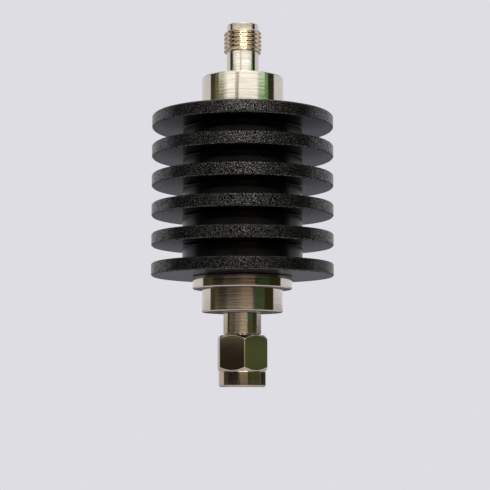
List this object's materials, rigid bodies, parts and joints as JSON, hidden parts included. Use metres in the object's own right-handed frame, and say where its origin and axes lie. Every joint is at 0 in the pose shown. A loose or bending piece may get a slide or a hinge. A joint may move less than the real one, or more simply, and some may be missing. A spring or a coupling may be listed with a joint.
{
  "type": "coaxial attenuator",
  "caption": "In-line coaxial attenuator with a threaded jack, a finned round heat sink and a plug whose hexagonal coupling nut turns and floats.",
  "frame": {"origin": "centre of the coupling nut's front face, at the lowest point of the part", "axes": "+Z along the common axis from the plug to the jack; the picture looks along +Y"},
  "size_m": [0.03, 0.03, 0.0602],
  "materials": {
    "black_anodised": "bead blasted and black anodised",
    "nickel_plate": "turned brass with bright nickel plate",
    "ptfe": "machined white fluoropolymer",
    "gold_plate": "gold plated",
    "bare_brass": "turned",
    "spring_bronze": "drawn wire",
    "silicone": "moulded silicone rubber",
    "alumina": "fired and lapped",
    "resistor_film": "printed cermet",
    "printed_silver": "printed and fired silver",
    "plain_aluminium": "machined",
    "stainless_steel": "turned"
  },
  "bodies": {
    "body": {"heat_sink": "black_anodised", "body_tube": "nickel_plate", "jack_shell": "nickel_plate", "jack_bead": "ptfe", "jack_contact": "gold_plate", "jack_bead_bush": "bare_brass", "plug_shell": "nickel_plate", "plug_bead": "ptfe", "plug_contact": "gold_plate", "plug_bead_bush": "bare_brass", "nut_gasket": "silicone", "chip_substrate": "alumina", "chip_resistor_film": "resistor_film", "chip_ground_strips": "printed_silver", "chip_terminals": "printed_silver", "plug_tab": "gold_plate", "jack_tab": "gold_plate", "lower_carrier": "plain_aluminium", "upper_carrier": "plain_aluminium", "carrier_screws": "stainless_steel"},
    "ring": {"retaining_ring": "spring_bronze"},
    "nut": {"coupling_nut": "nickel_plate"}
  },
  "joints": [
    {"name": "nut_float", "type": "slide", "parent": "body", "child": "ring", "axis": [0, 0, -1], "range_m": [0, 0.00025]},
    {"name": "nut_spin", "type": "hinge", "parent": "ring", "child": "nut", "pos_m": [0, 0, 0.0055], "axis": [0, 0, 1], "continuous": true}
  ]
}
